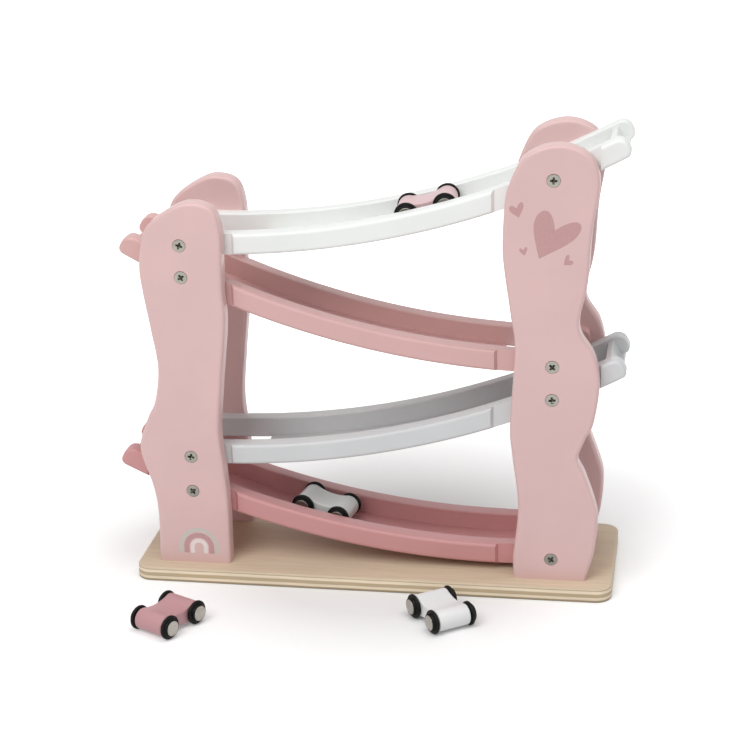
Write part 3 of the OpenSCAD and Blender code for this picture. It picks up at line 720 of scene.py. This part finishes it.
def cross_wall(ramp, name, a, b, half):
    """A wall between two angles, from the floor up to just under the rails' top edge, its top edges rounded.
    Its profile is given by the distance along the arc and the radius, and is bent round the arcs' centre."""
    s = sizes()
    top, foot = s.track_radius + s.wall_drop, s.track_radius + s.floor_drop
    thick = math.radians(b - a) * foot
    profile = rounded([(0, foot), (0, top), (thick, top), (thick, foot)], WALL_ROUND)
    line = ramp.polar(profile[:, 1], a + np.degrees(profile[:, 0] / foot))
    root = ramp.polar(foot + WALL_ROOT, np.linspace(a, b, len(profile)))
    return piece(name, *slab(line, root, -half, half, WALL_EASE, WALL_EASE, 2))


class TOY_OT_screws(bpy.types.Operator):
    """Countersunk screws with a cross recess pressed into the head"""

    bl_idname = "toy.screws"
    bl_label = "Screws"

    def execute(self, context):
        steel = worked_metal("zinc_plated_steel", "#94928A", 0.36, 0.3)
        groups = [
            (f"{word}_panel_screws", panel_screw_places(LEFT, face) + panel_screw_places(RIGHT, face),
             (0, -face, 0), PANEL_SCREW_LENGTH)
            for word, face in (("front", FRONT), ("back", BACK))
        ]  # fmt: skip
        groups.append(("base_screws", base_screw_places(), (0, 0, 1), BASE_SCREW_LENGTH))
        for name, places, axis, long in groups:
            parts = [screw(p, axis, long, 17 + 41 * k) for k, p in enumerate(places)]
            made = piece(f"{name}_set", *joined(parts), merge=True)
            finish_piece(made, steel, [name])
        return {"FINISHED"}


def screw(place, axis, long, turn):
    """A countersunk screw. Its face is a grid of radius and angle, sunk where it lies within a cross whose
    arms narrow outwards: the depth falls along the arms and fades over 0.15 mm at their edges, and the rim
    of the head is eased. A cone and a shank follow."""
    s = sizes()
    segments = 96
    axis = np.asarray(axis, float)
    side = np.array([1.0, 0.0, 0.0])
    up = np.cross(axis, side)
    t = np.arange(segments) * 2 * math.pi / segments
    share = np.concatenate([[0.0], np.linspace(0.1, 0.7, 19), [0.8, 0.9, 0.96]])[:, None]
    u, v = share * s.screw_head * np.cos(t), share * s.screw_head * np.sin(t)
    near, far = np.minimum(abs(u), abs(v)), np.maximum(abs(u), abs(v))
    reach, width, soft = 2.1 * MM, 0.88 * MM, 0.15 * MM
    deep, ease = 3.0 * MM, 0.06 * MM
    arm = width * (1 - 0.4 * far / reach)
    inside = np.clip((arm - near) / soft, 0, 1) * np.clip((reach - far) / soft, 0, 1)
    sink = deep * inside * (1 - 0.7 * far / reach) + ease * share**6
    a = math.radians(turn)
    p, q = u * math.cos(a) - v * math.sin(a), u * math.sin(a) + v * math.cos(a)
    face = np.asarray(place) + p[..., None] * side + q[..., None] * up + sink[..., None] * axis
    edge = s.screw_head - ease
    rim = [(edge, 0.05 * MM), (edge, 0.12 * MM), (s.screw_shank, s.screw_head - s.screw_shank)]
    body = [(s.screw_shank, long - 3 * MM), (0.4 * MM, long), (0.0, long)]
    profile = np.array(rim + body)
    c, d = np.cos(t + a), np.sin(t + a)
    spoke = c[:, None] * side + d[:, None] * up
    rest = np.asarray(place) + profile[:, None, :1] * spoke + profile[:, None, 1:] * axis
    points = np.concatenate([face, rest])
    return points.reshape(-1, 3), grid_faces(len(points), segments)


def on_ramp(ramp, angle, turn):
    """Matrix of a car that stands on a ramp: its axles' middle hangs from the arc centre at the angle,
    and the car is turned in its channel, seen from above."""
    s = sizes()
    r = s.track_radius + s.floor_drop - CAR_LIFT - s.tyre_radius
    hang = math.sqrt(r**2 - (s.wheelbase / 2) ** 2)
    x, z = ramp.centre()
    swing = Matrix.Rotation(math.radians(-ramp.side * angle), 4, "Y")
    yaw = Matrix.Rotation(math.radians(turn), 4, "Z")
    return Matrix.Translation((x, 0, z)) @ swing @ Matrix.Translation((0, 0, -hang)) @ yaw


def on_ground(x, y, turn):
    """Matrix of a car that stands on the ground, its nose turned from +X by the angle."""
    yaw = Matrix.Rotation(math.radians(turn), 4, "Z")
    return Matrix.Translation((x * MM, y * MM, sizes().tyre_radius)) @ yaw


def cars():
    """Name, place, paint, slot and the word for the +X and the -X end of each car."""
    c = colours()
    return (
        ("pink_car", on_ramp(RAMPS[0], 14.7, 3.5), c.pink_car, "pale_pink_paint", "high", "low"),
        ("grey_car", on_ramp(RAMPS[3], 12.65, -9), c.grey_car, "pale_grey_paint", "low", "high"),
        ("white_car", on_ground(50.0, -83.9, -54), c.white_car, "car_white_paint", "nose", "tail"),
        ("rose_car", on_ground(-112.7, -109.7, 62.4), c.rose_car, "car_rose_paint", "nose", "tail"),
    )


def placed(points, matrix):
    """Points moved by a matrix."""
    m = np.array(matrix)
    return points @ m[:3, :3].T + m[:3, 3]


class TOY_OT_car_bodies(bpy.types.Operator):
    """Car bodies: two round lobes about the axles and a waist between them, edges rounded over"""

    bl_idname = "toy.car_bodies"
    bl_label = "Car bodies"

    def execute(self, context):
        s = sizes()
        half, lobe, waist = s.wheelbase / 2, s.lobe_radius, s.waist
        # The waist arc touches both lobes: its radius follows from the right triangle of the three centres.
        # The upper line starts just above the middle line, so that it doesn't meet the lower one
        arc = (half**2 + waist**2 - lobe**2) / (2 * (lobe - waist))
        lean = math.atan2(half, waist + arc)
        t = np.linspace(math.pi * 0.994, math.pi / 2 - lean, 26)
        left = np.column_stack([-half + lobe * np.cos(t), lobe * np.sin(t)])
        f = np.linspace(-lean, lean, 26)[1:-1]
        middle = np.column_stack([arc * np.sin(f), waist + arc - arc * np.cos(f)])
        left_end = left[left[:, 0] <= -half + lobe * math.sin(lean) + 1e-9]
        upper = np.vstack([left_end, middle, (left_end * [-1, 1])[::-1]])
        lower = upper * [1, -1]
        for name, matrix, value, slot, _, _ in cars():
            y = s.car_width / 2
            points, faces = slab(upper, lower, -y, y, s.car_round, s.car_round, 5)
            made = piece(f"{name}_block", placed(points, matrix), faces)
            paint = painted_birch(f"{slot}_on_birch", value, (4, 4, 4), 0.36)
            finish_piece(made, paint, [f"{name}_body"], name)
        return {"FINISHED"}


class TOY_OT_wheels(bpy.types.Operator):
    """Wheel sets: an axle, two stepped rubber tyres and two metal discs for each end of each car"""

    bl_idname = "toy.wheels"
    bl_label = "Wheels"

    def execute(self, context):
        s = sizes()
        r, w, d = s.tyre_radius, s.tyre_width, s.disc_radius
        step, tread = r - TYRE_STEP, TREAD_SHARE * w
        tyre = rounded(
            [(d, 0), (r - 0.6 * MM, 0), (r, 0.5 * MM), (r, tread - 0.5 * MM), (r - 0.5 * MM, tread),
             (step + 0.15 * MM, tread), (step, tread + 0.25 * MM), (step, w - 0.6 * MM), (step - 0.6 * MM, w),
             (d + 0.35 * MM, w), (d, w - 0.25 * MM), (d, 0)], 0.3 * MM)  # fmt: skip
        disc = rounded(
            [(0, 0), (d - 0.04 * MM, 0), (d - 0.04 * MM, w + 0.2 * MM), (d - 0.6 * MM, w + 0.2 * MM),
             (d - 0.9 * MM, w - 0.05 * MM), (1.2 * MM, w - 0.02 * MM), (0, w)], 0.2 * MM)  # fmt: skip
        rubber = moulded_rubber("black_moulded_rubber")
        metal = worked_metal("turned_aluminium", "#B2AEA6", 0.34, 0.25)
        steel = worked_metal("bright_steel", "#B4B4B0", 0.28, 0.2)
        inner = s.wheel_track / 2 - w / 2
        rod_end, ease = inner + w - 1.2 * MM, 0.09 * MM
        half_rod = [(0, rod_end), (AXLE_RADIUS - ease, rod_end), (AXLE_RADIUS, rod_end - 0.1 * MM)]
        rod = [(radius, -y) for radius, y in half_rod] + half_rod[::-1]
        for name, matrix, _, _, plus, minus in cars():
            for word, end in ((plus, 1), (minus, -1)):
                x = end * s.wheelbase / 2
                set_name = f"{name}_{word}"
                tyres, discs = (
                    joined([lathe(profile, (x, side * inner, 0), (0, side, 0), 72) for side in (-1, 1)])
                    for profile in (tyre, disc)
                )
                for kind, (points, faces), finish, slot, node in (
                    ("rubber", tyres, rubber, "black_rubber", "tyres"),
                    ("metal", discs, metal, "disc_metal", "discs"),
                    ("pin", lathe(rod, (x, 0, 0), (0, 1, 0), 32), steel, "axle_steel", "axle"),
                ):
                    made = piece(f"{set_name}_{kind}", placed(points, matrix), faces, merge=True)
                    finish_piece(made, finish, [f"{set_name}_{node}"], f"{set_name}_wheels")
        return {"FINISHED"}


def ink_film(upper, lower, y0, y1):
    """A closed film between two lines of a side view, from the depth y0 to the depth y1, without rounding."""
    ring = np.vstack([upper, lower[::-1]])
    return stack(np.stack([ring, ring]), (y0, y1))


def heart_lines(x, z, width, height, turn, lean):
    """A heart's closed outline, x = sin t |sin t| and z = (13 cos t - 7.5 cos 2t - 2 cos 3t - cos 4t) / 32,
    stretched, sheared and turned about (x, z), and the same outline shrunk almost to a point there."""
    t = np.linspace(0.0, 2 * math.pi, 121)
    u = np.sin(t) * np.abs(np.sin(t)) * width / 2
    v = (13 * np.cos(t) - 7.5 * np.cos(2 * t) - 2 * np.cos(3 * t) - np.cos(4 * t)) / 32 * height
    a = math.radians(turn)
    u = u + lean * v
    offset = np.column_stack([u * math.cos(a) - v * math.sin(a), u * math.sin(a) + v * math.cos(a)])
    middle = np.array([x, z])
    return middle + offset, middle + offset * 0.002


def arch_lines(x, foot, leg, r1, r2):
    """The outer and the inner line of an arch: a half circle on two straight legs."""
    t = np.radians(np.linspace(180, 0, 49))
    lines = []
    for r in (r1, r2):
        arc = np.column_stack([x + r * np.cos(t), foot + leg + r * np.sin(t)])
        lines.append(np.vstack([[x - r, foot], arc, [x + r, foot]]))
    return lines


class TOY_OT_prints(bpy.types.Operator):
    """Printed hearts on the right front panel and a small rainbow on the left one, as thin films of ink"""

    bl_idname = "toy.prints"
    bl_label = "Prints"

    def execute(self, context):
        s, c = sizes(), colours()
        y = -s.panel_inner - s.panel_thickness
        # Place, width, height, turn and lean of each heart
        hearts = (
            (112.2, 231.1, 26.9, 28.6, -20, 0.14), (91.1, 245.1, 8.9, 8.2, 22, 0.15),
            (121.1, 214.7, 6.3, 5.8, -58, -0.2), (95.0, 220.2, 4.8, 4.8, 15, 0.08),
        )  # fmt: skip
        parts = []
        for x, z, width, height, turn, lean in hearts:
            lines = heart_lines(x * MM, z * MM, width * MM, height * MM, turn, lean)
            parts.append(ink_film(*lines, y - INK_FILM, y))
        made = piece("heart_prints", *joined(parts))
        finish_piece(made, printed_ink("heart_ink", c.heart), [])
        bands = (
            ("outer", 13.1, 10.4, c.arch_outer), ("middle", 9.7, 6.4, c.arch_middle),
            ("inner", 5.6, 3.0, c.arch_inner),
        )  # fmt: skip
        for word, r1, r2, value in bands:
            lines = arch_lines(-110.3 * MM, 15.4 * MM, 4.3 * MM, r1 * MM, r2 * MM)
            made = piece(f"{word}_arch_print", *ink_film(*lines, y - INK_FILM, y))
            finish_piece(made, printed_ink(f"{word}_arch_ink", value), [])
        return {"FINISHED"}


class TOY_OT_stage(bpy.types.Operator):
    """White floor, soft studio light and the camera at the photograph's viewing angle"""

    bl_idname = "toy.stage"
    bl_label = "Stage"

    def execute(self, context):
        scene = context.scene
        scene.view_settings.view_transform = "Standard"
        x, y = np.meshgrid([-6.0, 6.0], [-6.0, 6.0], indexing="ij")
        points = np.column_stack([x.ravel(), y.ravel(), np.full(4, -0.02 * MM)])
        made = piece("studio_floor", points, np.array([[0, 2, 3, 1]]))
        made.data.materials.append(white_sweep("white_paper"))
        world = bpy.data.worlds.new("studio")
        scene.world = world
        world.use_nodes = True
        tree = world.node_tree
        tree.nodes.clear()
        fill = add(tree, "ShaderNodeBackground", {"Color": WHITE, "Strength": 0.44})
        paper = add(tree, "ShaderNodeBackground", {"Color": WHITE, "Strength": 1.0})
        shaders = {0: in_view(tree), 1: fill.outputs[0], 2: paper.outputs[0]}
        mix = add(tree, "ShaderNodeMixShader", links=shaders)
        add(tree, "ShaderNodeOutputWorld", links={"Surface": mix.outputs[0]})
        # Place and width in metres, and power in watts
        for name, place, size, power in (
            ("key_softbox", (-0.55, -1.2, 1.5), 1.1, 17.0),
            ("top_softbox", (0.5, -0.2, 1.7), 1.2, 9.0),
        ):
            light = bpy.data.lights.new(name, "AREA")
            light.shape, light.size, light.energy = "SQUARE", size, power
            lamp = bpy.data.objects.new(name, light)
            lamp.location = place
            lamp.rotation_mode = "QUATERNION"
            lamp.rotation_quaternion = (Vector((0, 0, 0.12)) - Vector(place)).to_track_quat("-Z", "Y")
            scene.collection.objects.link(lamp)
        scene.camera = photo_camera()
        return {"FINISHED"}


def in_view(tree):
    """1 for a ray from the camera, straight, by way of a reflection or through glass, and 0 for others."""
    rays = add(tree, "ShaderNodeLightPath").outputs
    seen = combined(tree, "MAXIMUM", rays["Is Camera Ray"], rays["Is Glossy Ray"])
    return combined(tree, "MAXIMUM", seen, rays["Is Transmission Ray"])


def white_sweep(name):
    """Matt white studio paper: it takes the toy's soft shadow, and in view it glows, a painted light that
    grows with the distance from the toy's middle. Far off it is plain white; nearer it glows less and less,
    so that
    round the toy it stays darker: a painted shade on top of the toy's real shadow."""
    made, tree, shader, place = surface(name)
    away = add(tree, "ShaderNodeVectorMath", {"operation": "LENGTH"}, {0: place}).outputs["Value"]
    # Painted light and shade: the glow rises from nothing at 0.08 m from the toy's middle to full at 0.42 m,
    # so the floor near the toy is painted darker than the floor far off
    glow = spread(tree, away, 0.0, 1.0, 0.08, 0.42)
    fibre = noise(tree, place, 2, 2.0)
    feed(tree, shader, {
        "Base Color": spread(tree, fibre, 0.83, 0.85, 0.0, 1.0),
        "Emission Color": WHITE,
        "Emission Strength": combined(tree, "MULTIPLY", glow, in_view(tree)),
        "Roughness": 0.9,
        "Specular IOR Level": 0.1,
    })  # fmt: skip
    return made


def photo_camera():
    """Camera at the photograph's place: turned 9.7 degrees to the toy's right, looking down 20 degrees."""
    yaw, pitch, roll = (math.radians(angle) for angle in (CAMERA_YAW, CAMERA_PITCH, CAMERA_ROLL))
    forward = Vector((-math.sin(yaw) * math.cos(pitch), math.cos(yaw) * math.cos(pitch), -math.sin(pitch)))
    right = Vector((math.cos(yaw), math.sin(yaw), 0.0))
    up = right.cross(forward)
    r2 = right * math.cos(roll) + up * math.sin(roll)
    u2 = up * math.cos(roll) - right * math.sin(roll)
    lens = bpy.data.cameras.new("photo_camera")
    lens.sensor_width = CAMERA_SENSOR
    lens.lens = CAMERA_LENS
    lens.clip_start, lens.clip_end = 0.05, 50.0
    made = bpy.data.objects.new("photo_camera", lens)
    axes = Matrix((r2, u2, -forward)).transposed().to_4x4()
    made.matrix_world = Matrix.Translation(CAMERA_PLACE) @ axes
    bpy.context.scene.collection.objects.link(made)
    return made


class TOY_PT_sidebar(bpy.types.Panel):
    """Sidebar panel that lists the toy's pieces and their sizes"""

    bl_idname = "TOY_PT_sidebar"
    bl_label = "Click clack track"
    bl_space_type = "VIEW_3D"
    bl_region_type = "UI"
    bl_category = "Track toy"

    def draw(self, context):
        for operator in OPERATORS:
            self.layout.operator(operator.bl_idname)
        for group in (context.scene.track_sizes, context.scene.track_colours):
            for key in group.__annotations__:
                self.layout.prop(group, key)


OPERATORS = (
    TOY_OT_base_plate,
    TOY_OT_side_panels,
    TOY_OT_ramps,
    TOY_OT_screws,
    TOY_OT_car_bodies,
    TOY_OT_wheels,
    TOY_OT_prints,
    TOY_OT_stage,
)
CLASSES = (TrackSizes, TrackColours, *OPERATORS, TOY_PT_sidebar)


def register():
    for made in CLASSES:
        bpy.utils.register_class(made)
    bpy.types.Scene.track_sizes = bpy.props.PointerProperty(type=TrackSizes)
    bpy.types.Scene.track_colours = bpy.props.PointerProperty(type=TrackColours)


def unregister():
    del bpy.types.Scene.track_colours
    del bpy.types.Scene.track_sizes
    for made in reversed(CLASSES):
        bpy.utils.unregister_class(made)


def main():
    """Builds every piece and the stage."""
    register()
    for operator in OPERATORS:
        group, name = operator.bl_idname.split(".")
        getattr(getattr(bpy.ops, group), name)()
    bpy.context.view_layer.update()


if __name__ == "__main__":
    main()
